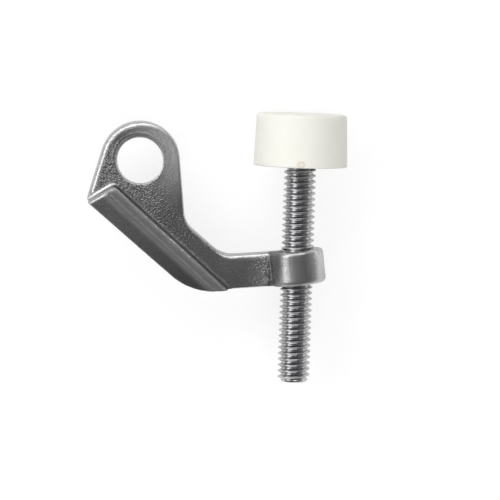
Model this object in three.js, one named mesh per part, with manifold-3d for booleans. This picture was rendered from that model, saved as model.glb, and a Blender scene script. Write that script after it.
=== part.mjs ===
// Hinge-pin door stop, in millimetres.
// It hangs on the door's own hinge pin: the eye of the cast arm slides over the pin, the foot bar leans
// on the door casing, and the soft bumper on the adjusting screw meets the door.
// Frame: +Z is the hinge pin's axis, +Y runs along the screw to the bumper, and +X runs from the eye to
// the screw. The origin is the middle of the eye, on the arm's underside.

import * as THREE from "three";
import { mergeVertices } from "three/addons/utils/BufferGeometryUtils.js";
import Module from "manifold-3d";

const wasm = await Module();
wasm.setup();

// Arm: eye and plate
const eyeBoreRadius = 5.56; // clears a hinge pin
const eyeWall = 3.97; // metal around the bore
const plateThickness = 4.8;
const plateRounding = 0.8; // on the edges of both faces
const backLean = 15.75; // degrees by which the plate's back edge spreads from the eye
const frontLean = 6.1; // degrees by which its front edge spreads
const neckWidth = 11.4; // across the plate, square to the foot
const backCornerRadius = 1.2;

// Arm: foot bar, raised along the plate's lower edge
const footReach = 15.5; // from the pin's axis to the bearing face
const footAngle = 39.5; // degrees that the bearing face drops towards the screw
const ridgeReach = 8.3; // from the pin's axis to the bar's inner wall
const ridgeAngle = 40.8; // degrees that the inner wall drops
const barRise = 4.4; // above the plate
const barEndAngle = 32.5; // degrees that the bar's end wall climbs
const barEndDrop = 2.1; // from the pin's axis to the end wall
const barRounding = 0.7; // on the edges of its top
const barCornerRadius = 0.9;
const crownWidth = 2.1; // level top of the bar, beside its inner wall
const crownSlope = 14; // degrees that the rest of the top falls to the bearing face

// Arm: strap and boss
const screwOffset = 38.4; // from the pin's axis to the screw's axis
const bossDrop = 24.4; // from the pin's axis back to the middle of the boss
const strapWidth = 8.2;
const strapAngle = 5.5; // degrees that the strap climbs towards the boss
const heelRadius = 15; // outside of the bend between foot and strap
const elbowRadius = 7; // inside of the same bend
const neckRadius = 5.5; // inside of the bend under the eye
const bossRadius = 6.65;
const bossHeight = 8.2;
const bossLean = 8; // degrees between the boss and the screw through it
const bossRounding = 1;
const bossDimpleMargin = 1; // by which the dimple in each face is wider than the thread
const bossDimpleDepth = 0.8;

// Thread: 5/16 inch with 18 turns to the inch, right-handed
const threadRadius = 3.9;
const threadPitch = 25.4 / 18;
const threadDepth = 0.6134 * threadPitch;
const threadCrest = threadPitch / 8;
const threadEngagement = 0.425 * threadPitch; // how deep the boss's own thread reaches
const threadClearance = 0.15; // between screw and boss, on every side of the thread
const flank = THREE.MathUtils.degToRad(30);

// Adjusting screw
const screwTail = 52; // from the bumper's base to the screw's tip
const tipChamfer = 0.9;
const headRadius = 6.2;
const headThickness = 3.2;

// Bumper
const bumperStandoff = 24.3; // from the middle of the boss to the bumper's base
const bumperHeight = 12.5;
const bumperBaseRadius = 11.25;
const bumperTipRadius = 10.8;
const bumperBaseChamfer = 0.3;
const bumperRounding = 1.1;
const bumperLip = 2.7; // rubber under the screw's head
const bumperClearance = 0.3; // around the screw and its head

// Fineness of the round surfaces
const arcSegments = 10;
const roundSegments = 48;
const threadSegments = 16; // to each turn
const edgeSegments = 3;

// What follows from these
const eyeRadius = eyeBoreRadius + eyeWall;
const barTop = plateThickness + barRise;
const boss = new THREE.Vector3(screwOffset, -bossDrop, plateThickness / 2);
const bumperBase = boss.y + bumperStandoff;
const screwTip = bumperBase - screwTail;
const headSeat = bumperBase + bumperLip + bumperClearance;
const headTop = headSeat + headThickness;

// ---- Solids

// A closed geometry as a solid that can be joined and cut.
function solid(geometry) {
  geometry.deleteAttribute("normal");
  geometry.deleteAttribute("uv");
  const merged = mergeVertices(geometry, 1e-4);
  return new wasm.Manifold(
    new wasm.Mesh({
      numProp: 3,
      vertProperties: merged.getAttribute("position").array,
      triVerts: merged.index.array,
    }),
  );
}

// A solid as a geometry that can be shown.
function surface(made) {
  const { vertProperties, triVerts } = made.getMesh();
  const geometry = new THREE.BufferGeometry();
  geometry.setAttribute("position", new THREE.BufferAttribute(vertProperties, 3));
  geometry.setIndex(new THREE.BufferAttribute(triVerts, 1));
  geometry.computeVertexNormals();
  return geometry;
}

// A solid of revolution about +Y. The profile is [radius, height] pairs from the bottom up.
function turned(profile, segments = roundSegments) {
  const points = profile.map(([radius, height]) => new THREE.Vector2(radius, height));
  return new THREE.LatheGeometry(points, segments);
}

// A quarter round of a turned profile, from one direction to another, both in degrees.
function quarterRound(centreRadius, centreHeight, radius, from, to) {
  return Array.from({ length: edgeSegments + 1 }, (_, step) => {
    const angle = THREE.MathUtils.degToRad(from + ((to - from) * step) / edgeSegments);
    return [centreRadius + radius * Math.cos(angle), centreHeight + radius * Math.sin(angle)];
  });
}

// ---- Plan outlines, made of straight edges

// An edge: the direction of its outward normal, in degrees, and its distance from the pin's axis.
function edge(normal, reach) {
  return { angle: THREE.MathUtils.degToRad(normal), reach };
}

// Where two edges cross, once both are moved inwards by inset.
function crossing(a, b, inset = 0) {
  const spread = Math.sin(b.angle - a.angle);
  const reachA = a.reach - inset;
  const reachB = b.reach - inset;
  return new THREE.Vector2(
    (reachA * Math.sin(b.angle) - reachB * Math.sin(a.angle)) / spread,
    (reachB * Math.cos(a.angle) - reachA * Math.cos(b.angle)) / spread,
  );
}

// Draws the corner between two edges as an arc, on an outline that runs anticlockwise.
function roundCorner(outline, a, b, radius) {
  const outward = Math.sin(b.angle - a.angle) > 0;
  const centre = crossing(a, b, outward ? radius : -radius);
  const turn = outward ? 0 : Math.PI;
  outline.absarc(centre.x, centre.y, radius, a.angle + turn, b.angle + turn, !outward);
}

// Draws the corner between two edges with no rounding.
function sharpCorner(outline, a, b) {
  const corner = crossing(a, b);
  outline.lineTo(corner.x, corner.y);
}

// The distance from the pin's axis of an edge that passes the boss's middle at a given distance.
function reachPastBoss(normal, distance) {
  const angle = THREE.MathUtils.degToRad(normal);
  return boss.x * Math.cos(angle) + boss.y * Math.sin(angle) + distance;
}

const backEdge = edge(180 - backLean, eyeRadius);
const footEdge = edge(270 - footAngle, footReach);
const strapUnderEdge = edge(strapAngle - 90, reachPastBoss(strapAngle - 90, strapWidth / 2));
const strapEndEdge = edge(0, screwOffset);
const strapTopEdge = edge(strapAngle + 90, reachPastBoss(strapAngle + 90, strapWidth / 2));
const neckEdge = edge(90 - footAngle, neckWidth - footReach);
const frontEdge = edge(frontLean, eyeRadius);
const ridgeEdge = edge(90 - ridgeAngle, -ridgeReach);
const barEndEdge = edge(90 + barEndAngle, -barEndDrop);
const beyondFoot = edge(270 - ridgeAngle, 2 * footReach);
const beyondHeel = edge(-ridgeAngle, screwOffset + bossDrop);

// An outline raised from one height to another, with the edges of both faces rounded.
function raised(outline, bottom, top, rounding) {
  const geometry = new THREE.ExtrudeGeometry(outline, {
    curveSegments: arcSegments,
    depth: top - bottom - 2 * rounding,
    bevelThickness: rounding,
    bevelSize: rounding,
    bevelOffset: -rounding,
    bevelSegments: edgeSegments,
  });
  return geometry.translate(0, 0, bottom + rounding);
}

// ---- Thread

// A straight path up the Y axis whose frames turn once in each pitch, right-handed. A profile drawn
// as [radius, height] and extruded along it becomes a helical ridge.
class HelixPath extends THREE.LineCurve3 {
  computeFrenetFrames(segments) {
    const frames = { tangents: [], normals: [], binormals: [] };
    for (let i = 0; i <= segments; i += 1) {
      const angle = (2 * Math.PI * i) / threadSegments;
      frames.tangents.push(new THREE.Vector3(Math.cos(angle), 0, -Math.sin(angle)));
      frames.normals.push(new THREE.Vector3(Math.sin(angle), 0, Math.cos(angle)));
      frames.binormals.push(new THREE.Vector3(0, -1, 0));
    }
    return frames;
  }
}

// A threaded rod on the Y axis, from below bottom to above top. It is grown by clearance on every side
// of its thread, and its core has its own radius. Rods with one bottom have their threads in line.
function threadedRod(bottom, top, coreRadius, clearance) {
  const halfWidth = (radius) =>
    threadCrest / 2 + (threadRadius - radius) * Math.tan(flank) + clearance / Math.cos(flank);
  const crest = threadRadius + clearance;
  const ridge = new THREE.Shape([
    new THREE.Vector2(coreRadius - threadPitch / 2, 0),
    new THREE.Vector2(coreRadius, -halfWidth(coreRadius)),
    new THREE.Vector2(crest, -halfWidth(crest)),
    new THREE.Vector2(crest, halfWidth(crest)),
    new THREE.Vector2(coreRadius, halfWidth(coreRadius)),
  ]);
  const turns = Math.ceil((top - bottom) / threadPitch) + 2;
  const start = new THREE.Vector3(0, bottom - threadPitch, 0);
  const end = new THREE.Vector3(0, start.y + turns * threadPitch, 0);
  const helix = new THREE.ExtrudeGeometry(ridge, {
    steps: turns * threadSegments,
    extrudePath: new HelixPath(start, end),
  });
  const length = end.y - start.y;
  const core = new THREE.CylinderGeometry(coreRadius, coreRadius, length, threadSegments);
  core.translate(0, (start.y + end.y) / 2, 0);
  return solid(core).add(solid(helix));
}

// ---- Sub-parts. The turned ones are made around their own axis and then moved to their place.

// The outline of the arm in plan, without the eye's bore.
function armOutline() {
  const outline = new THREE.Shape();
  outline.absarc(0, 0, eyeRadius, frontEdge.angle, backEdge.angle);
  roundCorner(outline, backEdge, footEdge, backCornerRadius);
  roundCorner(outline, footEdge, strapUnderEdge, heelRadius);
  sharpCorner(outline, strapUnderEdge, strapEndEdge);
  sharpCorner(outline, strapEndEdge, strapTopEdge);
  roundCorner(outline, strapTopEdge, neckEdge, elbowRadius);
  roundCorner(outline, neckEdge, frontEdge, neckRadius);
  outline.closePath();
  return outline;
}

// The plate and strap, with the bore through the eye.
function plate() {
  const outline = armOutline();
  const bore = new THREE.Path();
  bore.absarc(0, 0, eyeBoreRadius, 0, Math.PI);
  bore.absarc(0, 0, eyeBoreRadius, Math.PI, 2 * Math.PI);
  outline.holes.push(bore);
  return solid(raised(outline, 0, plateThickness, plateRounding));
}

// The raised foot bar: what the arm's outline shares with a block that starts at the bar's inner wall
// and end wall and runs on past the arm's edges. Its top slopes from the level crown outwards.
function footBar() {
  const block = new THREE.Shape();
  roundCorner(block, ridgeEdge, barEndEdge, barCornerRadius);
  sharpCorner(block, barEndEdge, beyondFoot);
  sharpCorner(block, beyondFoot, beyondHeel);
  sharpCorner(block, beyondHeel, ridgeEdge);
  block.closePath();

  const slope = new THREE.BoxGeometry(2 * beyondHeel.reach, 2 * footReach, barTop);
  slope.translate(0, -footReach, barTop / 2);
  slope.rotateX(THREE.MathUtils.degToRad(crownSlope));
  slope.translate(0, -ridgeReach - crownWidth, barTop);
  slope.rotateZ(THREE.MathUtils.degToRad(-ridgeAngle));

  return solid(raised(armOutline(), plateThickness / 2, barTop, barRounding))
    .intersect(solid(raised(block, plateThickness / 2, barTop, barRounding)))
    .subtract(solid(slope));
}

// The round boss on the strap's end, with a cast dimple in each face.
function bossLug() {
  const half = bossHeight / 2;
  const rim = bossRadius - bossRounding;
  const dimple = threadRadius + bossDimpleMargin;
  const lug = turned([
    [0, bossDimpleDepth - half],
    [dimple, -half],
    ...quarterRound(rim, bossRounding - half, bossRounding, -90, 0),
    ...quarterRound(rim, half - bossRounding, bossRounding, 0, 90),
    [dimple, half],
    [0, half - bossDimpleDepth],
  ]);
  lug.rotateZ(THREE.MathUtils.degToRad(bossLean));
  lug.translate(boss.x, boss.y, boss.z);
  return solid(lug);
}

// The die-cast arm: eye, plate, raised foot bar, strap and tapped boss in one piece.
function armCasting() {
  const tap = threadedRod(screwTip, headSeat, threadRadius - threadEngagement, threadClearance);
  return plate()
    .add(footBar())
    .add(bossLug())
    .subtract(tap.translate([boss.x, 0, boss.z]));
}

// The fully threaded screw, with a plain round head that the bumper hides.
function adjustingScrew() {
  const tipRadius = threadRadius - tipChamfer;
  const blank = turned([
    [0, screwTip],
    [tipRadius, screwTip],
    [tipRadius + 2 * tipChamfer, screwTip + 2 * tipChamfer],
    [tipRadius + 2 * tipChamfer, headSeat + threadPitch],
    [0, headSeat + threadPitch],
  ]);
  const head = turned([
    [0, headSeat],
    [headRadius, headSeat],
    [headRadius, headTop],
    [0, headTop],
  ]);
  return threadedRod(screwTip, headSeat, threadRadius - threadDepth, 0)
    .intersect(solid(blank))
    .add(solid(head));
}

// The soft bumper, moulded over the screw's head. It is a little narrower at its tip.
function bumperCap() {
  const tip = bumperBase + bumperHeight;
  const holeRadius = threadRadius + bumperClearance;
  const cavityRadius = headRadius + bumperClearance;
  const cavityTop = headTop + bumperClearance;
  return turned([
    [0, cavityTop],
    [cavityRadius, cavityTop],
    [cavityRadius, bumperBase + bumperLip],
    [holeRadius, bumperBase + bumperLip],
    [holeRadius, bumperBase],
    [bumperBaseRadius - bumperBaseChamfer, bumperBase],
    [bumperBaseRadius, bumperBase + bumperBaseChamfer],
    ...quarterRound(bumperTipRadius - bumperRounding, tip - bumperRounding, bumperRounding, 0, 90),
    [0, tip],
  ]);
}

// ---- Materials and assembly

const castZinc = new THREE.MeshStandardMaterial({
  color: 0x6e7072,
  roughness: 0.38,
  metalness: 1,
  flatShading: true,
});
const brightSteel = new THREE.MeshStandardMaterial({
  color: 0xa9abad,
  roughness: 0.25,
  metalness: 1,
  flatShading: true,
});
const ivoryRubber = new THREE.MeshStandardMaterial({
  color: 0xf0efe2,
  roughness: 0.55,
  metalness: 0,
});

const doorStop = new THREE.Group();

function place(name, geometry, material, x = 0, z = 0) {
  const mesh = new THREE.Mesh(geometry, material);
  mesh.name = name;
  mesh.position.set(x, 0, z);
  doorStop.add(mesh);
}

place("arm_casting", surface(armCasting()), castZinc);
place("adjusting_screw", surface(adjustingScrew()), brightSteel, boss.x, boss.z);
place("bumper_cap", bumperCap(), ivoryRubber, boss.x, boss.z);

export default doorStop;
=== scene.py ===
# Hinge-pin door stop, in metres, in the frame of its CAD model: +Z is the hinge pin's axis, +Y runs along
# the screw to the bumper, and +X runs from the eye to the screw.

import math

import bmesh
import bpy
from mathutils import Matrix, Vector


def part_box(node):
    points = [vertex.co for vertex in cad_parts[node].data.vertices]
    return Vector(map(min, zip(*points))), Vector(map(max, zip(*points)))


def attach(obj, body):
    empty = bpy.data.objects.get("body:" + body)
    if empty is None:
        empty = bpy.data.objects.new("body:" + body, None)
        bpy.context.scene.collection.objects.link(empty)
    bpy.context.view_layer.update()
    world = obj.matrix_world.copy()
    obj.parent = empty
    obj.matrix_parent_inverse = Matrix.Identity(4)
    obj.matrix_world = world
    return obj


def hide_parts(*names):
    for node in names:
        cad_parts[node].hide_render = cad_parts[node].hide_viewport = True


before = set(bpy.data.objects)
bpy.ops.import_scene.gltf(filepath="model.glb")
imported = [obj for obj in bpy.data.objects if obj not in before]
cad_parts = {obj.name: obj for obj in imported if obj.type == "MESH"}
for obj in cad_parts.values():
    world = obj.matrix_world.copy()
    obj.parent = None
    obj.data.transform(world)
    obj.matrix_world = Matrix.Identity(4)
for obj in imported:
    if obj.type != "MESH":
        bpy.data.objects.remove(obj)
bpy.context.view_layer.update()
mm = 0.001

# ---- Cast arm
# One zinc-alloy die casting, barrel-polished and plated in satin nickel: an eye for the door's hinge pin,
# a flat plate, a foot bar raised along the plate's lower edge, and a strap that ends in the tapped boss.
# The polishing rounds its outer edges and leaves the cast skin rougher beside the bar.

eye_bore_radius = 5.56 * mm
eye_radius = eye_bore_radius + 3.97 * mm
eye_front_angle = 6.1  # degrees that the eye's front and back edges lean, to spread towards the foot
eye_back_angle = 15.75
plate_thickness = 4.8 * mm
plate_top_rounding = 1.6 * mm  # at its broadest, where the polishing stones reach the rim
polished_azimuth = 148  # degrees from +X towards +Y, of the side that is rounded most
side_rounding_share = 0.4  # where the rim faces neither towards that side nor away from it
rounding_share_spread = 0.75
least_rounding_share = 0.12
plate_under_rounding = 0.8 * mm
back_corner_radius = 2 * mm
countersink_radius = 5.8 * mm
countersink_shift = Vector((-0.25, 0.55, 0)) * mm
countersink_depth = 1.1 * mm
lip_radius = 6.35 * mm  # of the low lip that the casting die leaves on one side of the bore
lip_thickness = 0.4 * mm
lip_tilt = math.radians(2.6)
lip_azimuth = math.radians(115)

foot_reach = 15.5 * mm  # from the pin's axis to the bearing face
foot_angle = 39.5  # degrees that the bearing face drops towards the screw
ridge_reach = 8.3 * mm  # from the pin's axis to the bar's inner wall
ridge_angle = 40.8
bar_end_reach = 1.8 * mm  # from the pin's axis to the foot of the bar's end wall
bar_end_angle = 32.5
bar_end_draft = 0.25 * mm  # by which the end wall leans back at its top
bar_rounding = 1 * mm
bar_corner_radius = 1.1 * mm
root_width = 0.7 * mm  # of the sloping fillet where the bar's walls rise from the plate
root_height = 0.35 * mm
bar_base = 0.5 * plate_thickness  # the bar's own solid starts inside the plate
bar_trim_base = 0.7 * plate_thickness  # and is trimmed to the arm's outline from here up
crown_width = 2.1 * mm
crown_slope = 14

neck_width = 11.4 * mm
strap_width = 8.2 * mm
strap_angle = 5.5
heel_radius = 15 * mm
elbow_radius = 7 * mm
neck_radius = 5.5 * mm

boss_radius = 6.65 * mm
boss_height = 8.2 * mm
boss_lean = 8
boss_rounding = 1 * mm
dimple_radius = 4.9 * mm
dimple_depth = 0.8 * mm
thread_clearance = 0.15 * mm

arc_step = 0.25 * mm  # between the points of a round corner
skin_step = 0.2 * mm  # between the points of the finished casting
polish_rounds = 8
edge_steps = 4  # across a rounded edge
round_sides = 96  # of a round bar
tolerance = 0.0001 * mm

_, arm_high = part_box("arm_casting")
screw_low, screw_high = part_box("adjusting_screw")
bumper_low, bumper_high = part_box("bumper_cap")
bar_top = arm_high.z
screw_axis = Vector((screw_low.x + screw_high.x, 0, screw_low.z + screw_high.z)) / 2
boss_centre = Vector((screw_axis.x, -24.4 * mm, screw_axis.z))
thread_radius = 3.9 * mm  # of the screw, over its crests


def heading(degrees):
    """The level direction at an angle from +X towards +Y."""
    angle = math.radians(degrees)
    return Vector((math.cos(angle), math.sin(angle), 0))


def edge(normal, reach):
    """A straight edge of a plan outline: its outward normal, in degrees, and how far it is from the pin."""
    return math.radians(normal), reach


def crossing(a, b, inset=0.0):
    """Where two edges cross, once both are moved inwards by inset."""
    spread = math.sin(b[0] - a[0])
    reach_a = a[1] - inset
    reach_b = b[1] - inset
    return Vector((
        (reach_a * math.sin(b[0]) - reach_b * math.sin(a[0])) / spread,
        (reach_b * math.cos(a[0]) - reach_a * math.cos(b[0])) / spread,
        0,
    ))


def round_corner(a, b, radius):
    """The arc between two edges of an anticlockwise outline: centre, radius, start and sweep."""
    sweep = (b[0] - a[0] + math.pi) % (2 * math.pi) - math.pi
    inwards = math.copysign(radius, sweep)
    start = a[0] if sweep > 0 else a[0] + math.pi
    return crossing(a, b, inwards), radius, start, sweep


def sharp_corner(a, b):
    """A corner with no arc, in the same form."""
    return crossing(a, b), 0.0, 0.0, 0.0


def draw_corner(bm, centre, radius, start, sweep):
    """Draws a corner by spinning a vertex about its centre, and gives its first and last vertex."""
    first = bm.verts.new(centre + radius * Vector((math.cos(start), math.sin(start), 0)))
    if not radius:
        return first, first
    steps = max(4, round(abs(sweep) * radius / arc_step))
    spun = bmesh.ops.spin(
        bm, geom=[first], cent=centre, axis=(0, 0, 1), angle=sweep, steps=steps, use_merge=False
    )
    return first, spun["geom_last"][0]


def raise_outline(corners, bottom, top):
    """Draws an outline from its corners, fills it and raises it into a slab."""
    bm = bmesh.new()
    ends = [draw_corner(bm, *corner) for corner in corners]
    for (_, last), (first, _) in zip(ends, ends[1:] + ends[:1]):
        bm.edges.new((last, first))
    bmesh.ops.contextual_create(bm, geom=bm.edges[:])
    bmesh.ops.translate(bm, verts=bm.verts[:], vec=(0, 0, bottom))
    raised = bmesh.ops.extrude_face_region(bm, geom=bm.faces[:])
    upper = [part for part in raised["geom"] if isinstance(part, bmesh.types.BMVert)]
    bmesh.ops.translate(bm, verts=upper, vec=(0, 0, top - bottom))
    bmesh.ops.recalc_face_normals(bm, faces=bm.faces[:])
    return bm


def round_rim(bm, axis, height, rounding):
    """Rounds the edges that lie in one plane across an axis."""
    rim = [e for e in bm.edges if all(abs(v.co[axis] - height) < tolerance for v in e.verts)]
    bmesh.ops.bevel(
        bm, geom=rim, offset=rounding, offset_type="OFFSET", affect="EDGES",
        segments=edge_steps, profile=0.5, material=-1,
    )


def as_object(bm, name):
    """Puts a finished bmesh into the scene as an object."""
    mesh = bpy.data.meshes.new(name)
    bm.to_mesh(mesh)
    bm.free()
    made = bpy.data.objects.new(name, mesh)
    bpy.context.scene.collection.objects.link(made)
    return made


def settle(piece):
    """Makes a piece's modifiers part of its mesh."""
    depsgraph = bpy.context.evaluated_depsgraph_get()
    mesh = bpy.data.meshes.new_from_object(piece.evaluated_get(depsgraph))
    piece.modifiers.clear()
    piece.data = mesh


def round_edges(piece, width, **chosen):
    """Rounds the edges of a piece that the bevel's settings choose."""
    rounding = piece.modifiers.new("rounding", "BEVEL")
    rounding.width = width
    rounding.segments = edge_steps
    for key, value in chosen.items():
        setattr(rounding, key, value)
    settle(piece)


def combine(piece, operation, bm):
    """Joins, cuts or intersects a piece with a solid."""
    tool = as_object(bm, "tool")
    boolean = piece.modifiers.new("boolean", "BOOLEAN")
    boolean.operation = operation
    boolean.solver = "MANIFOLD"
    boolean.object = tool
    settle(piece)
    bpy.data.objects.remove(tool)


def cylinder(radius, length, matrix, top_radius=None):
    """A round bar or cone about its own Z axis, moved into place."""
    bm = bmesh.new()
    bmesh.ops.create_cone(
        bm, cap_ends=True, segments=round_sides, radius1=radius,
        radius2=radius if top_radius is None else top_radius, depth=length, matrix=matrix,
    )
    return bm


def reach_past_boss(normal, distance):
    """How far an edge is from the pin when it passes the boss's middle at a distance."""
    return boss_centre.dot(heading(normal)) + distance


def arm_outline():
    """The arm's outline in plan, without the eye's bore."""
    front = edge(eye_front_angle, eye_radius)
    back = edge(180 - eye_back_angle, eye_radius)
    foot = edge(270 - foot_angle, foot_reach)
    strap_under = edge(strap_angle - 90, reach_past_boss(strap_angle - 90, strap_width / 2))
    strap_end = edge(0, boss_centre.x)
    strap_top = edge(strap_angle + 90, reach_past_boss(strap_angle + 90, strap_width / 2))
    neck = edge(90 - foot_angle, neck_width - foot_reach)
    return [
        (Vector(), eye_radius, front[0], back[0] - front[0]),
        round_corner(back, foot, back_corner_radius),
        round_corner(foot, strap_under, heel_radius),
        sharp_corner(strap_under, strap_end),
        sharp_corner(strap_end, strap_top),
        round_corner(strap_top, neck, elbow_radius),
        round_corner(neck, front, neck_radius),
    ]


def plate():
    """The flat plate and strap, with an upper rim that is rounded most on its polished side."""
    bm = raise_outline(arm_outline(), 0, plate_thickness)
    round_rim(bm, 2, 0, plate_under_rounding)
    share = bm.edges.layers.float.new("bevel_weight_edge")
    polished_side = heading(polished_azimuth)
    for rim in bm.edges:
        if all(abs(v.co.z - plate_thickness) < tolerance for v in rim.verts):
            facing = sum((f.normal for f in rim.link_faces), Vector()).dot(polished_side)
            wanted = side_rounding_share + rounding_share_spread * facing
            rim[share] = min(1, max(least_rounding_share, wanted))
    slab = as_object(bm, "cast_arm")
    round_edges(slab, plate_top_rounding, limit_method="WEIGHT", use_clamp_overlap=False)
    return slab


def bore_lip():
    """A thin ring round the bore, tilted so that only one side of it stands above the plate."""
    bm = bmesh.new()
    bmesh.ops.create_circle(bm, segments=12, radius=lip_thickness, matrix=(
        Matrix.Translation((lip_radius, 0, 0)) @ Matrix.Rotation(math.radians(90), 4, "X")
    ))
    bmesh.ops.spin(
        bm, geom=bm.verts[:] + bm.edges[:], cent=(0, 0, 0), axis=(0, 0, 1), angle=2 * math.pi,
        steps=round_sides, use_merge=True,
    )
    bmesh.ops.recalc_face_normals(bm, faces=bm.faces[:])
    bmesh.ops.transform(bm, verts=bm.verts[:], matrix=(
        Matrix.Translation((0, 0, plate_thickness - lip_thickness))
        @ Matrix.Rotation(lip_azimuth, 4, "Z") @ Matrix.Rotation(-lip_tilt, 4, "Y")
    ))
    return bm


def above_crown():
    """What is cut away above the bar's sloping top."""
    size = 8 * foot_reach
    bm = bmesh.new()
    bmesh.ops.create_cube(bm, size=size, matrix=(
        Matrix.Rotation(math.radians(-ridge_angle), 4, "Z")
        @ Matrix.Translation((0, -ridge_reach - crown_width, bar_top))
        @ Matrix.Rotation(math.radians(crown_slope), 4, "X")
        @ Matrix.Translation((0, -size / 2, size / 2))
    ))
    return bm


def end_wall_lean(height):
    """How far the bar's end wall leans back over a height."""
    return height * bar_end_draft / (bar_top - plate_thickness)


def bar_outline(margin):
    """The bar's inner and end walls in plan, moved out by a margin. It runs on past the arm's edges."""
    ridge = edge(90 - ridge_angle, margin - ridge_reach)
    end = edge(90 + bar_end_angle, margin + end_wall_lean(plate_thickness - bar_base) - bar_end_reach)
    beyond_foot = edge(270 - ridge_angle, 2 * foot_reach)
    beyond_heel = edge(-ridge_angle, boss_centre.length * 1.5)
    return [
        round_corner(ridge, end, bar_corner_radius + margin),
        sharp_corner(end, beyond_foot),
        sharp_corner(beyond_foot, beyond_heel),
        sharp_corner(beyond_heel, ridge),
    ]


def trimmed_to_arm(piece):
    """Trims a piece to the arm's outline, takes it out of the scene and gives its mesh."""
    combine(piece, "INTERSECT", raise_outline(arm_outline(), bar_trim_base, bar_top))
    bm = bmesh.new()
    bm.from_mesh(piece.data)
    bpy.data.objects.remove(piece)
    return bm


def foot_bar():
    """The raised bar, with rounded upper edges, where it lies inside the arm's outline."""
    bm = raise_outline(bar_outline(0), bar_base, bar_top)
    along = heading(-ridge_angle)
    end_top = [v for v in bm.verts if v.co.z > plate_thickness and v.co.dot(along) < foot_reach]
    lean = end_wall_lean(bar_top - bar_base) / math.cos(math.radians(90 - ridge_angle - bar_end_angle))
    bmesh.ops.translate(bm, verts=end_top, vec=along * lean)
    bar = as_object(bm, "bar")
    combine(bar, "DIFFERENCE", above_crown())
    round_edges(bar, bar_rounding, limit_method="ANGLE", angle_limit=math.radians(45))
    return trimmed_to_arm(bar)


def bar_root():
    """The low sloping fillet at the foot of the bar's walls."""
    bm = raise_outline(bar_outline(root_width), bar_base, plate_thickness)
    top = [f for f in bm.faces if f.normal.z > 0.99]
    bmesh.ops.inset_region(bm, faces=top, thickness=root_width, depth=root_height)
    return trimmed_to_arm(as_object(bm, "root"))


def boss():
    """The round boss, leaning a little from the screw, with a cast dimple in each face."""
    bm = cylinder(boss_radius, boss_height, Matrix())
    for side in (-1, 1):
        round_rim(bm, 2, side * boss_height / 2, boss_rounding)
    for face in [f for f in bm.faces if len(f.verts) > 4]:
        side = math.copysign(1, face.normal.z)
        bmesh.ops.inset_region(bm, faces=[face], thickness=boss_radius - boss_rounding - dimple_radius)
        slope = dimple_radius - thread_radius
        bmesh.ops.inset_region(bm, faces=[face], thickness=slope)
        drop = dimple_depth * slope / dimple_radius
        bmesh.ops.translate(bm, verts=face.verts[:], vec=(0, 0, -side * drop))
    bmesh.ops.transform(bm, verts=bm.verts[:], matrix=(
        Matrix.Translation(boss_centre)
        @ Matrix.Rotation(math.radians(boss_lean), 4, "Z")
        @ Matrix.Rotation(math.radians(-90), 4, "X")
    ))
    return bm


arm = plate()
combine(arm, "UNION", bore_lip())
combine(arm, "UNION", foot_bar())
combine(arm, "UNION", bar_root())
combine(arm, "UNION", boss())
combine(arm, "DIFFERENCE", cylinder(eye_bore_radius, 4 * plate_thickness, Matrix()))
countersink = Matrix.Translation(countersink_shift + Vector((0, 0, plate_thickness)))
combine(arm, "DIFFERENCE", cylinder(
    countersink_radius - countersink_depth, 2 * countersink_depth, countersink,
    top_radius=countersink_radius + countersink_depth,
))
through_boss = Matrix.Translation(boss_centre) @ Matrix.Rotation(math.radians(90), 4, "X")
combine(arm, "DIFFERENCE", cylinder(thread_radius + thread_clearance, 2 * boss_height, through_boss))

skin = arm.modifiers.new("skin", "REMESH")
skin.mode = "VOXEL"
skin.voxel_size = skin_step
skin.use_smooth_shade = True
polish = arm.modifiers.new("polish", "SMOOTH")
polish.factor = 0.5
polish.iterations = polish_rounds
settle(arm)

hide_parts("arm_casting")
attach(arm, "arm")


def add_node(tree, kind, inputs=None, **settings):
    """Adds a node to a shader tree. Its inputs are given by name or number, as values or sockets."""
    node = tree.nodes.new("ShaderNode" + kind)
    for key, value in settings.items():
        setattr(node, key, value)
    for key, value in (inputs or {}).items():
        if isinstance(value, bpy.types.NodeSocket):
            tree.links.new(value, node.inputs[key])
        else:
            node.inputs[key].default_value = value
    return node


def calculate(tree, operation, result, *others):
    """The sum, product or the like of two values or more."""
    for other in others:
        result = add_node(tree, "Math", {0: result, 1: other}, operation=operation).outputs[0]
    return result


def ramp(tree, value, from_low, from_high, to_low=0.0, to_high=1.0):
    """A value spread from one range to another, and held at its ends."""
    return add_node(tree, "MapRange", {
        "Value": value, "From Min": from_low, "From Max": from_high, "To Min": to_low, "To Max": to_high,
    }).outputs["Result"]


def noise(tree, place, scale, detail=3.0, roughness=0.6):
    """Cloudy noise. Its scale is in waves to the metre."""
    return add_node(tree, "TexNoise", {
        "Vector": place, "Scale": scale, "Detail": detail, "Roughness": roughness,
    }).outputs["Fac"]


def mix_colours(tree, share, a, b):
    """From colour a to colour b as the share goes from 0 to 1."""
    return add_node(tree, "Mix", {0: share, 6: a, 7: b}, data_type="RGBA").outputs[2]


def new_group(name, inputs, outputs):
    """An empty shader group with one vector input, named value inputs and value outputs."""
    tree = bpy.data.node_groups.new(name, "ShaderNodeTree")
    tree.interface.new_socket(name="Vector", in_out="INPUT", socket_type="NodeSocketVector")
    for label in inputs:
        tree.interface.new_socket(name=label, in_out="INPUT", socket_type="NodeSocketFloat")
    for label in outputs:
        tree.interface.new_socket(name=label, in_out="OUTPUT", socket_type="NodeSocketFloat")
    return tree, tree.nodes.new("NodeGroupInput").outputs, tree.nodes.new("NodeGroupOutput").inputs


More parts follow.
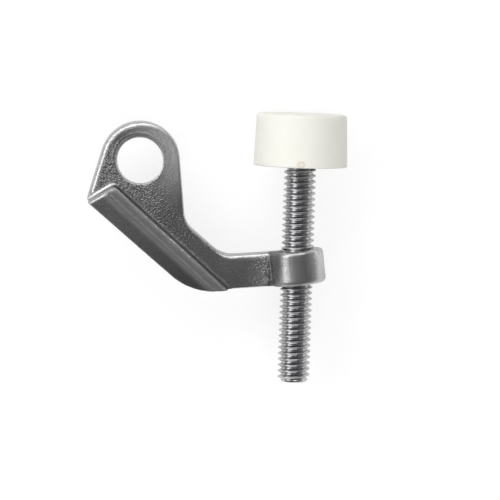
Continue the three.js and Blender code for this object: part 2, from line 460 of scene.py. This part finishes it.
def surface_grain_group():
    """Fine grain of a given size, and the cloudy mottling under it, both from 0 to 1."""
    tree, given, result = new_group("surface grain", ["Grain size"], ["Grain", "Mottle"])
    fine = calculate(tree, "DIVIDE", 1.0, given["Grain size"])
    broad = calculate(tree, "MULTIPLY", fine, 0.1)
    tree.links.new(ramp(tree, noise(tree, given["Vector"], fine), 0.3, 0.7), result["Grain"])
    tree.links.new(ramp(tree, noise(tree, given["Vector"], broad, 4.0), 0.32, 0.68), result["Mottle"])
    return tree


def edge_rub_and_shade_group():
    """Where handling and polishing rub the outer edges, and the hollows, where shade is painted in the
    corners.
    """
    tree, given, result = new_group("edge rubbing and corner shade", ["Reach"], ["Rubbed", "Recess"])
    nearly_flat = 0.014
    bulge = calculate(tree, "SUBTRACT", add_node(tree, "NewGeometry").outputs["Pointiness"], 0.5)
    hollow = calculate(tree, "MULTIPLY", bulge, -1.0)
    patchy = ramp(tree, noise(tree, given["Vector"], 420.0), 0.25, 0.75, 0.55, 1.0)
    # Rubbed marks the rubbed outer edges; Recess marks the hollows, where shade is painted
    for label, depth in (("Rubbed", bulge), ("Recess", hollow)):
        sharp = ramp(tree, depth, nearly_flat, given["Reach"])
        tree.links.new(calculate(tree, "MULTIPLY", sharp, patchy), result[label])
    return tree


def hairlines_group():
    """Sparse hairline scratches that cross in two directions, from 0 to 1."""
    tree, given, result = new_group("hairline scratches", ["Amount"], ["Scratch"])
    threshold = calculate(tree, "SUBTRACT", 0.76, given["Amount"])
    lines = []
    for turn, stretch in ((0.5, (60, 2200, 400)), (-0.9, (1900, 80, 400))):
        drawn = add_node(tree, "Mapping", {
            "Vector": given["Vector"], "Rotation": (0.3, 0.2, turn), "Scale": stretch,
        })
        lines.append(ramp(tree, noise(tree, drawn.outputs["Vector"], 1.0, 2.0), threshold, 0.8))
    tree.links.new(calculate(tree, "MAXIMUM", *lines), result["Scratch"])
    return tree


surface_grain = surface_grain_group()
edge_rub_and_shade = edge_rub_and_shade_group()
hairlines = hairlines_group()


def new_material(name):
    """A material with only its shader, and the piece's own coordinates."""
    material = bpy.data.materials.new(name)
    material.use_nodes = True
    tree = material.node_tree
    place = add_node(tree, "TexCoord").outputs["Object"]
    return material, tree, tree.nodes["Principled BSDF"], place


def connect(tree, shader, colour, roughness, height, bump_depth):
    """Feeds a shader its colour, its roughness and a bump of a given depth."""
    bump = add_node(tree, "Bump", {"Height": height, "Strength": 1.0, "Distance": bump_depth})
    tree.links.new(colour, shader.inputs["Base Color"])
    tree.links.new(roughness, shader.inputs["Roughness"])
    tree.links.new(bump.outputs["Normal"], shader.inputs["Normal"])


def coat(piece, material):
    """Gives the whole of a piece one material."""
    piece.data.materials.clear()
    piece.data.materials.append(material)


cast_dark = (0.49, 0.49, 0.495, 1)
cast_light = (0.59, 0.59, 0.59, 1)
# Painted shade, laid on the bar's slope and crown and on the boss's foot
cast_shade = (0.24, 0.24, 0.24, 1)
# Rubbed edges, which is real rubbing, and the painted sheen on the eye's front
cast_rubbed_and_sheen = (0.75, 0.75, 0.75, 1)
# Dark of the pits beside the bar, and painted shade at the bar's root and in the hollows
cast_pits_and_shade = (0.13, 0.13, 0.13, 1)
matt_sheen_azimuth = 25  # of the side of the eye that is matt and painted lighter, a painted sheen


def coordinate(tree, place, axis):
    """A point's X, Y or Z."""
    return add_node(tree, "SeparateXYZ", {"Vector": place}).outputs[axis]


def plan_reach(tree, place, degrees):
    """How far a point is from the pin's axis in a level direction."""
    return add_node(tree, "VectorMath", {
        0: place, 1: heading(degrees),
    }, operation="DOT_PRODUCT").outputs["Value"]


# Each of these masks is 1 in its place on the casting, and fades to 0 round it.


def above_rim_mask(tree, place):
    """Everything above the plate's rounded rim."""
    height = coordinate(tree, place, "Z")
    return ramp(tree, height, plate_thickness - 0.14 * mm, plate_thickness - 0.04 * mm)


def plate_top_mask(tree, place):
    """The plate's flat top."""
    height = coordinate(tree, place, "Z")
    below_bar = ramp(tree, height, plate_thickness + 0.05 * mm, plate_thickness + 0.14 * mm, 1.0, 0.0)
    return calculate(tree, "MULTIPLY", below_bar, above_rim_mask(tree, place))


def beside_bar_mask(tree, place):
    """The plate beside the bar's walls, where polishing stones hardly reach and where shade is painted. It
    fades towards the strap.
    """
    from_ridge = plan_reach(tree, place, 90 - ridge_angle)
    from_end = plan_reach(tree, place, 90 + bar_end_angle)
    near = ramp(tree, from_ridge, -ridge_reach, 9 * mm - ridge_reach, 1.0, 0.0)
    past_ridge = ramp(tree, from_ridge, -ridge_reach - 0.5 * mm, -ridge_reach)
    past_end = ramp(tree, from_end, -bar_end_reach - 0.5 * mm, -bar_end_reach)
    clear_of_bar = calculate(tree, "MAXIMUM", past_ridge, past_end)
    thinning = ramp(tree, plan_reach(tree, place, -ridge_angle), 17 * mm, 28 * mm, 1.0, 0.25)
    return calculate(tree, "MULTIPLY", near, clear_of_bar, plate_top_mask(tree, place), thinning)


def boss_foot_mask(tree, place):
    """The side of the boss that the strap runs into, up to its crest."""
    along = coordinate(tree, place, "X")
    past_strap = ramp(tree, along, boss_centre.x - boss_radius - 0.6 * mm, boss_centre.x - boss_radius)
    before_crest = ramp(tree, along, boss_centre.x - 4.5 * mm, boss_centre.x - 3.1 * mm, 1.0, 0.0)
    return calculate(tree, "MULTIPLY", past_strap, before_crest)


def matt_sheen_front_mask(tree, place):
    """The eye's flat top, on the side away from the bar, where it is matt and has a painted sheen."""
    flat = add_node(tree, "VectorMath", {0: place, 1: (1, 1, 0)}, operation="MULTIPLY").outputs["Vector"]
    from_pin = add_node(tree, "VectorMath", {0: flat}, operation="LENGTH").outputs["Value"]
    on_eye = ramp(tree, from_pin, 8 * mm, 14 * mm, 1.0, 0.0)
    in_front = ramp(tree, plan_reach(tree, place, matt_sheen_azimuth), -1 * mm, 9 * mm)
    return calculate(tree, "MULTIPLY", on_eye, in_front, plate_top_mask(tree, place))


def crown_mask(tree, place):
    """The strip along the bar's top."""
    return ramp(tree, coordinate(tree, place, "Z"), bar_top - 0.5 * mm, bar_top - 0.1 * mm)


def shaded_slope_mask(tree, place):
    """The slope past the bar's crown, where shade is painted, more of it towards the heel."""
    from_ridge = plan_reach(tree, place, 90 - ridge_angle)
    past_crown = ramp(tree, from_ridge, -ridge_reach - 1 * mm, -ridge_reach - 4 * mm)
    high_up = ramp(tree, coordinate(tree, place, "Z"), plate_thickness, bar_top - 2.5 * mm)
    towards_heel = ramp(tree, plan_reach(tree, place, -ridge_angle), 5 * mm, 30 * mm, 0.4, 1.0)
    return calculate(tree, "MULTIPLY", past_crown, high_up, towards_heel)


def root_shade_mask(tree, place):
    """The foot of the bar's inner wall, where shade is painted."""
    past_wall = calculate(tree, "ADD", plan_reach(tree, place, 90 - ridge_angle), ridge_reach)
    from_wall = add_node(tree, "Math", {0: past_wall}, operation="ABSOLUTE").outputs[0]
    near_wall = ramp(tree, from_wall, 0.2 * mm, 0.9 * mm, 1.0, 0.0)
    height = coordinate(tree, place, "Z")
    low_down = ramp(tree, height, plate_thickness + 0.4 * mm, plate_thickness + 1.4 * mm, 1.0, 0.0)
    along_wall = ramp(tree, plan_reach(tree, place, -ridge_angle), -1.2 * mm, -0.4 * mm)
    return calculate(tree, "MULTIPLY", near_wall, low_down, above_rim_mask(tree, place), along_wall)


def pit_depth(tree, place):
    """How deep the cast skin's pits are: most by the bar's end and at the boss's foot, faint elsewhere."""
    near_end = ramp(tree, plan_reach(tree, place, -ridge_angle), 4 * mm, 13 * mm, 1.0, 0.35)
    by_bar = calculate(tree, "MULTIPLY", beside_bar_mask(tree, place), near_end)
    along = coordinate(tree, place, "X")
    near_boss = ramp(tree, along, boss_centre.x - 2 * boss_radius, boss_centre.x - boss_radius, 0.0, 0.5)
    by_boss = calculate(tree, "MULTIPLY", near_boss, plate_top_mask(tree, place))
    rough = calculate(tree, "MAXIMUM", by_bar, by_boss, boss_foot_mask(tree, place))
    return ramp(tree, rough, 0.0, 1.0, 0.16, 0.85)


def satin_nickel():
    """Satin plating, rubbed bright on the edges and pitted where polishing didn't reach, with painted shade
    and a painted sheen.
    """
    material, tree, shader, place = new_material("satin nickel casting")
    shader.inputs["Metallic"].default_value = 1.0
    grain = add_node(tree, "Group", {"Vector": place, "Grain size": 0.5 * mm}, node_tree=surface_grain)
    rubbing_and_shade = add_node(tree, "Group", {"Vector": place, "Reach": 0.1}, node_tree=edge_rub_and_shade)
    hair = add_node(tree, "Group", {"Vector": place, "Amount": 0.08}, node_tree=hairlines)
    turned = add_node(tree, "Mapping", {"Vector": place, "Rotation": (0.7, 0.4, 0.5)}).outputs["Vector"]
    pits = ramp(tree, noise(tree, turned, 2500.0, 2.0, 0.6), 0.48, 0.7)
    boss_foot = boss_foot_mask(tree, place)
    matt_sheen_front = matt_sheen_front_mask(tree, place)
    crown = crown_mask(tree, place)

    cloudy = mix_colours(tree, grain.outputs["Mottle"], cast_dark, cast_light)
    # Painted shade: the crown, the slope towards the heel and the boss's foot are painted darker
    shaded_crown = calculate(tree, "MULTIPLY", crown, 0.65)
    painted_shade_share = calculate(tree, "MAXIMUM", shaded_slope_mask(tree, place), boss_foot, shaded_crown)
    shaded = mix_colours(tree, painted_shade_share, cloudy, cast_shade)
    # Painted sheen: the eye's flat front is painted lighter
    painted_sheen = mix_colours(tree, matt_sheen_front, shaded, cast_rubbed_and_sheen)
    rubbed = mix_colours(tree, rubbing_and_shade.outputs["Rubbed"], painted_sheen, cast_rubbed_and_sheen)
    # Painted shade beside the bar and at the boss's foot, darker again in the pits
    pitted_shaded_foot = calculate(tree, "MULTIPLY", boss_foot, 0.6)
    pitted_shaded_skin = calculate(tree, "MAXIMUM", beside_bar_mask(tree, place), pitted_shaded_foot)
    pits_with_shade = calculate(tree, "MULTIPLY", pitted_shaded_skin, ramp(tree, pits, 0.0, 1.0, 0.3, 0.95))
    # Painted shade at the foot of the bar's inner wall and in the hollows, with the darkened pits
    root = calculate(tree, "MULTIPLY", root_shade_mask(tree, place), 0.9)
    pits_and_shade = calculate(tree, "MAXIMUM", pits_with_shade, root, rubbing_and_shade.outputs["Recess"])
    colour = mix_colours(tree, pits_and_shade, rubbed, cast_pits_and_shade)

    satin = ramp(tree, grain.outputs["Grain"], 0.0, 1.0, 0.27, 0.33)
    worn = calculate(tree, "MULTIPLY", rubbing_and_shade.outputs["Rubbed"], -0.1)
    matt = calculate(tree, "MAXIMUM", matt_sheen_front, crown)
    matt = calculate(tree, "MULTIPLY", matt, ramp(tree, grain.outputs["Grain"], 0.0, 1.0, 0.2, 0.3))
    roughness = calculate(tree, "ADD", satin, worn, matt)

    pitted = calculate(tree, "MULTIPLY", pits, pit_depth(tree, place))
    grainy = calculate(tree, "ADD", pitted, calculate(tree, "MULTIPLY", grain.outputs["Grain"], 0.05))
    scored = calculate(tree, "MULTIPLY", hair.outputs["Scratch"], 0.05)
    connect(tree, shader, colour, roughness, calculate(tree, "SUBTRACT", grainy, scored), 0.12 * mm)
    return material


coat(arm, satin_nickel())

# ---- Adjusting screw
# A 5/16 inch steel screw with 18 turns to the inch, thread-rolled over its whole length and bright
# zinc-plated. It runs through the boss, and its plain round head is held inside the bumper.

thread_pitch = 25.4 / 18 * mm
thread_depth = 0.6134 * thread_pitch
thread_crest = thread_pitch / 8
thread_flank = math.radians(30)
thread_rounding = 0.06 * mm
thread_steps = 64  # to each turn
tip_chamfer = 0.9 * mm
tip_rim = 1 * mm
tip_cup = 0.25 * mm
tip_cup_slope = 0.5 * mm
head_thickness = 3.2 * mm
head_rounding = 0.4 * mm
screw_tip = screw_low.y
head_top = screw_high.y
head_radius = (screw_high.x - screw_low.x) / 2
upright = Matrix.Rotation(math.radians(-90), 4, "X")  # turns a Z axis to +Y
sharp_angle = math.radians(40)  # between faces that meet in a sharp edge
zinc_dark = (0.5, 0.5, 0.515, 1)
zinc_light = (0.58, 0.58, 0.59, 1)
zinc_rubbed = (0.72, 0.72, 0.72, 1)
# Dirt and painted shade in the thread's roots
zinc_dirt_and_shade = (0.12, 0.12, 0.12, 1)


def thread_profile(bm):
    """One turn of the thread in section, from root to root, with its crest and roots rounded."""
    root = thread_radius - thread_depth
    foot = thread_crest / 2 + thread_depth * math.tan(thread_flank)
    half = thread_pitch / 2
    section = [
        (-half, root), (-foot, root), (-thread_crest / 2, thread_radius),
        (thread_crest / 2, thread_radius), (foot, root), (half, root),
    ]
    points = [bm.verts.new((0, along, radius)) for along, radius in section]
    for pair in zip(points, points[1:]):
        bm.edges.new(pair)
    bmesh.ops.bevel(
        bm, geom=points[1:-1], offset=thread_rounding, offset_type="OFFSET", affect="VERTICES",
        segments=2, profile=0.5, material=-1,
    )


def cup_tip(bm):
    """Presses a shallow cup into the screw's end face."""
    at_tip = screw_tip + 0.01 * mm
    end = [f for f in bm.faces if f.normal.y < -0.99 and f.calc_center_median().y < at_tip]
    bmesh.ops.inset_region(bm, faces=end, thickness=tip_rim)
    bmesh.ops.inset_region(bm, faces=end, thickness=tip_cup_slope)
    bmesh.ops.translate(bm, verts=list({v for f in end for v in f.verts}), vec=(0, tip_cup, 0))


def threaded_rod():
    """The thread: one turn spun up the screw's axis, repeated, trimmed at both ends and chamfered."""
    start = screw_tip - thread_pitch
    end = head_top - head_thickness / 2
    bm = bmesh.new()
    thread_profile(bm)
    bmesh.ops.translate(bm, verts=bm.verts[:], vec=(0, start, 0))
    bmesh.ops.spin(
        bm, geom=bm.verts[:] + bm.edges[:], cent=(0, 0, 0), axis=(0, 1, 0),
        dvec=(0, thread_pitch / thread_steps, 0), angle=2 * math.pi, steps=thread_steps,
    )
    rod = as_object(bm, "threaded_screw")
    turns = rod.modifiers.new("turns", "ARRAY")
    turns.count = math.ceil((end - start) / thread_pitch) + 1
    turns.use_relative_offset = False
    turns.use_constant_offset = True
    turns.constant_offset_displace = (0, thread_pitch, 0)
    turns.use_merge_vertices = True
    turns.merge_threshold = 0.001 * mm
    settle(rod)

    bm = bmesh.new()
    bm.from_mesh(rod.data)
    for place, outwards in ((screw_tip, -1), (end, 1)):
        bmesh.ops.bisect_plane(
            bm, geom=bm.verts[:] + bm.edges[:] + bm.faces[:], plane_co=(0, place, 0),
            plane_no=(0, outwards, 0), clear_outer=True,
        )
    bmesh.ops.holes_fill(bm, edges=[e for e in bm.edges if e.is_boundary], sides=0)
    for point in bm.verts:
        radius = math.hypot(point.co.x, point.co.z)
        limit = thread_radius - tip_chamfer + point.co.y - screw_tip
        if radius > limit:
            point.co.x *= limit / radius
            point.co.z *= limit / radius
    bmesh.ops.recalc_face_normals(bm, faces=bm.faces[:])
    cup_tip(bm)
    bm.to_mesh(rod.data)
    bm.free()
    return rod


def round_head():
    """The screw's plain round head, with both rims rounded."""
    middle = Matrix.Translation((0, head_top - head_thickness / 2, 0))
    bm = cylinder(head_radius, head_thickness, middle @ upright)
    for rim in (head_top - head_thickness, head_top):
        round_rim(bm, 1, rim, head_rounding)
    return bm


def set_on_axis(piece):
    """Moves a piece that was made round the origin to the screw's axis, and smooths its round faces."""
    piece.data.transform(Matrix.Translation(screw_axis))
    piece.data.shade_smooth()
    piece.data.set_sharp_from_angle(angle=sharp_angle)


screw = threaded_rod()
combine(screw, "UNION", round_head())
set_on_axis(screw)

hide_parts("adjusting_screw")
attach(screw, "screw")


def bright_zinc():
    """Bright plating, rubbed on the thread's crests, with dirt and painted shade down in its roots."""
    material, tree, shader, place = new_material("bright zinc plating")
    shader.inputs["Metallic"].default_value = 1.0
    grain = add_node(tree, "Group", {"Vector": place, "Grain size": 0.2 * mm}, node_tree=surface_grain)
    rubbing_and_shade = add_node(tree, "Group", {"Vector": place, "Reach": 0.08}, node_tree=edge_rub_and_shade)
    hair = add_node(tree, "Group", {"Vector": place, "Amount": 0.1}, node_tree=hairlines)
    cloudy = mix_colours(tree, grain.outputs["Mottle"], zinc_dark, zinc_light)
    rubbed = mix_colours(tree, rubbing_and_shade.outputs["Rubbed"], cloudy, zinc_rubbed)
    # Painted shade, with dirt, down in the thread's roots
    colour = mix_colours(tree, rubbing_and_shade.outputs["Recess"], rubbed, zinc_dirt_and_shade)
    satin = ramp(tree, grain.outputs["Grain"], 0.0, 1.0, 0.14, 0.22)
    roughness = calculate(tree, "ADD", satin, calculate(tree, "MULTIPLY", rubbing_and_shade.outputs["Recess"], 0.2))
    scored = calculate(tree, "MULTIPLY", hair.outputs["Scratch"], 0.5)
    height = calculate(tree, "SUBTRACT", calculate(tree, "MULTIPLY", grain.outputs["Grain"], 0.4), scored)
    connect(tree, shader, colour, roughness, height, 0.008 * mm)
    return material


coat(screw, bright_zinc())

# ---- Bumper
# A soft ivory vinyl moulding, pressed over the screw's head: a plain round block, a little narrower at
# its tip. The moulder's gate leaves a small square mark at its base.

bumper_base = bumper_low.y
bumper_tip = bumper_high.y
bumper_base_radius = (bumper_high.x - bumper_low.x) / 2
bumper_tip_radius = 10.8 * mm
bumper_rounding = 1.1 * mm
bumper_base_rounding = 0.3 * mm
bumper_lip = 2.7 * mm
bumper_clearance = 0.3 * mm
bumper_sides = 144
gate_size = Vector((1.7, 1.4, 0.5)) * mm
gate_depth = 0.12 * mm
gate_height = 0.85 * mm  # of its middle above the base
gate_place = Vector((0, bumper_base + gate_height, bumper_base_radius - gate_depth + gate_size.z / 2))
pit_radius = 0.3 * mm
pit_angle = 56
pit_height = 6.4 * mm
vinyl_dark = (0.91, 0.905, 0.83, 1)
vinyl_light = (0.93, 0.925, 0.86, 1)
gate_tint = (0.74, 0.6, 0.5, 1)
dust_tint = (0.45, 0.42, 0.36, 1)


def bumper_shell():
    """The bumper in section, from the roof of the head's pocket round to the tip, spun about its axis."""
    pocket_roof = head_top + bumper_clearance
    pocket = head_radius + bumper_clearance
    hole = thread_radius + bumper_clearance
    section = [
        (0, pocket_roof), (pocket, pocket_roof), (pocket, bumper_base + bumper_lip),
        (hole, bumper_base + bumper_lip), (hole, bumper_base), (bumper_base_radius, bumper_base),
        (bumper_tip_radius, bumper_tip), (0, bumper_tip),
    ]
    bm = bmesh.new()
    points = [bm.verts.new((0, along, radius)) for radius, along in section]
    edges = [bm.edges.new(pair) for pair in zip(points, points[1:])]
    bmesh.ops.subdivide_edges(bm, edges=edges[5:7], cuts=12)
    for along, radius, rounding in (
        (bumper_base, bumper_base_radius, bumper_base_rounding),
        (bumper_tip, bumper_tip_radius, bumper_rounding),
    ):
        corner = min(bm.verts, key=lambda v: (v.co - Vector((0, along, radius))).length)
        bmesh.ops.bevel(
            bm, geom=[corner], offset=rounding, offset_type="OFFSET", affect="VERTICES",
            segments=6, profile=0.5, material=-1,
        )
    bmesh.ops.spin(
        bm, geom=bm.verts[:] + bm.edges[:], cent=(0, 0, 0), axis=(0, 1, 0), angle=2 * math.pi,
        steps=bumper_sides, use_merge=True,
    )
    bmesh.ops.remove_doubles(bm, verts=bm.verts[:], dist=0.001 * mm)
    bmesh.ops.recalc_face_normals(bm, faces=bm.faces[:])
    return bm


def gate_mark():
    """The block that presses the moulder's square gate mark into the bumper's side."""
    bm = bmesh.new()
    bmesh.ops.create_cube(bm, size=1, matrix=(
        Matrix.Translation(gate_place) @ Matrix.Diagonal((*gate_size, 1))
    ))
    return bm


def surface_pit():
    """The small round pit that a bubble leaves in the bumper's side."""
    turn = Matrix.Rotation(math.radians(pit_angle), 4, "Y")
    place = Matrix.Translation((0, bumper_base + pit_height, bumper_base_radius))
    bm = bmesh.new()
    bmesh.ops.create_icosphere(bm, subdivisions=3, radius=pit_radius, matrix=turn @ place)
    return bm


bumper = as_object(bumper_shell(), "ivory_bumper")
combine(bumper, "DIFFERENCE", gate_mark())
combine(bumper, "DIFFERENCE", surface_pit())
set_on_axis(bumper)

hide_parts("bumper_cap")
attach(bumper, "bumper")


def ivory_vinyl():
    """Ivory vinyl with a soft sheen, clouded, drawn lengthwise by the mould and specked with dust."""
    material, tree, shader, place = new_material("ivory vinyl")
    shader.inputs["Specular IOR Level"].default_value = 0.4
    grain = add_node(tree, "Group", {"Vector": place, "Grain size": 0.35 * mm}, node_tree=surface_grain)
    drawn = add_node(tree, "Mapping", {"Vector": place, "Scale": (900, 60, 900)})
    streaks = noise(tree, drawn.outputs["Vector"], 1.0)
    dust = ramp(tree, noise(tree, place, 1500.0, 1.0), 0.76, 0.8, 0.0, 0.35)
    cloudy = mix_colours(tree, grain.outputs["Mottle"], vinyl_dark, vinyl_light)
    dusted = mix_colours(tree, dust, cloudy, dust_tint)
    from_gate = add_node(tree, "VectorMath", {0: place, 1: gate_place + screw_axis}, operation="SUBTRACT")
    in_gates = add_node(tree, "VectorMath", {
        0: from_gate.outputs["Vector"], 1: (2 / gate_size.x, 2 / gate_size.y, 0.5 / gate_size.z),
    }, operation="MULTIPLY")
    out = add_node(tree, "VectorMath", {0: in_gates.outputs["Vector"]}, operation="LENGTH").outputs["Value"]
    inner_edge = ramp(tree, out, 0.4, 0.8, 0.15, 0.55)
    outer_edge = ramp(tree, out, 1.1, 1.3, 1.0, 0.0)
    colour = mix_colours(tree, calculate(tree, "MULTIPLY", inner_edge, outer_edge), dusted, gate_tint)
    roughness = ramp(tree, streaks, 0.3, 0.7, 0.42, 0.54)
    fine = calculate(tree, "MULTIPLY", grain.outputs["Grain"], 0.5)
    connect(tree, shader, colour, roughness, calculate(tree, "ADD", fine, streaks), 0.01 * mm)
    return material


coat(bumper, ivory_vinyl())

# ---- Floor
# The table that the stop lies on: a wide pale sheet. It is white to the eye and in the metal's
# reflections, keeps the soft shadow, and is clear from below.

floor_size = 4.0
paper_white = (0.82, 0.82, 0.82, 1)  # as the object is lit by it
paper_seen = (0.26, 0.26, 0.26, 1)  # as the camera sees it, below its glow
glow_seen = 0.78
glow_reflected = 0.15
floor_mesh = bmesh.new()
bmesh.ops.create_grid(floor_mesh, x_segments=1, y_segments=1, size=floor_size)
bmesh.ops.translate(floor_mesh, verts=floor_mesh.verts[:], vec=(0, 0, bumper_low.z))
floor = as_object(floor_mesh, "floor")

paper = bpy.data.materials.new("white paper")
paper.use_nodes = True
paper_tree = paper.node_tree
paper_shader = paper_tree.nodes["Principled BSDF"]
paper_shader.inputs["Roughness"].default_value = 0.9
paper_shader.inputs["Specular IOR Level"].default_value = 0.0
paper_shader.inputs["Emission Color"].default_value = (1, 1, 1, 1)
ray = add_node(paper_tree, "LightPath").outputs
to_the_eye = calculate(paper_tree, "MULTIPLY", ray["Is Camera Ray"], glow_seen)
in_the_metal = calculate(paper_tree, "MULTIPLY", ray["Is Glossy Ray"], glow_reflected)
glow = calculate(paper_tree, "ADD", to_the_eye, in_the_metal)
paper_tree.links.new(glow, paper_shader.inputs["Emission Strength"])
paper_colour = mix_colours(paper_tree, ray["Is Camera Ray"], paper_white, paper_seen)
paper_tree.links.new(paper_colour, paper_shader.inputs["Base Color"])
clear = add_node(paper_tree, "BsdfTransparent").outputs["BSDF"]
below = add_node(paper_tree, "NewGeometry").outputs["Backfacing"]
shown = add_node(paper_tree, "MixShader", {0: below, 1: paper_shader.outputs["BSDF"], 2: clear})
paper_tree.links.new(shown.outputs["Shader"], paper_tree.nodes["Material Output"].inputs["Surface"])
coat(floor, paper)

# ---- Light
# A dim room with a long, soft bank of light along the left and far sides. A polarised lamp on the near
# side fills the vinyl and the floor, and leaves no glare on the metal.

ceiling_level = 0.1
wall_level = 0.35
bank_level = 2.7
bank_azimuth = 130  # of the bank's middle
bank_foot = (0.32, 0.55)  # the bank's long edges each fade between two sines of height in the sky
bank_head = (0.7, 0.9)
bank_ends = (0.26, 0.57)  # its ends fade between two cosines of the angle from its middle
wall_fade = (0.2, 0.9)
fill_level = 1.25
fill_spread = math.radians(60)
fill_azimuth = -75
fill_elevation = math.radians(65)

room = bpy.data.worlds.new("studio")
bpy.context.scene.world = room
room.use_nodes = True
sky = room.node_tree
direction = add_node(sky, "TexCoord").outputs["Generated"]
climb = add_node(sky, "SeparateXYZ", {"Vector": direction}).outputs["Z"]
flat = add_node(sky, "VectorMath", {0: direction, 1: (1, 1, 0)}, operation="MULTIPLY").outputs["Vector"]
towards_bank = add_node(sky, "VectorMath", {
    0: add_node(sky, "VectorMath", {0: flat}, operation="NORMALIZE").outputs["Vector"],
    1: heading(bank_azimuth),
}, operation="DOT_PRODUCT").outputs["Value"]
bank = calculate(
    sky, "MULTIPLY", ramp(sky, climb, *bank_foot), ramp(sky, climb, *bank_head, 1.0, 0.0),
    ramp(sky, towards_bank, *bank_ends, 0.0, bank_level),
)
walls = ramp(sky, climb, *wall_fade, wall_level, ceiling_level)
sky.links.new(calculate(sky, "ADD", bank, walls), sky.nodes["Background"].inputs["Strength"])
sky.nodes["Background"].inputs["Color"].default_value = (1, 1, 1, 1)

fill = bpy.data.lights.new("fill_lamp", "SUN")
fill.energy = fill_level
fill.angle = fill_spread
fill_lamp = bpy.data.objects.new("fill_lamp", fill)
fill_lamp.visible_glossy = False
towards_fill = heading(fill_azimuth) * math.cos(fill_elevation) + Vector((0, 0, math.sin(fill_elevation)))
fill_lamp.rotation_euler = towards_fill.to_track_quat("Z", "Y").to_euler()
bpy.context.scene.collection.objects.link(fill_lamp)

# ---- Camera
# A long lens looks almost straight down, from a little beyond the bumper's side, and is turned slightly.
# It stands well back, so that the tall boss and bumper hardly spread.

view_centre = Vector((27.0, -20.7, 2.4)) * mm
view_distance = 600 * mm
view_width = 120.2 * mm
view_turn = math.radians(1.8)
view_tilt = math.radians(5)

camera = bpy.data.cameras.new("camera")
camera.sensor_width = 36
camera.lens = camera.sensor_width * view_distance / view_width
viewer = bpy.data.objects.new("camera", camera)
aim = Matrix.Rotation(view_turn, 4, "Z") @ Matrix.Rotation(-view_tilt, 4, "X")
viewer.matrix_world = Matrix.Translation(view_centre) @ aim @ Matrix.Translation((0, 0, view_distance))
bpy.context.scene.collection.objects.link(viewer)
bpy.context.scene.camera = viewer
bpy.context.scene.view_settings.view_transform = "Standard"
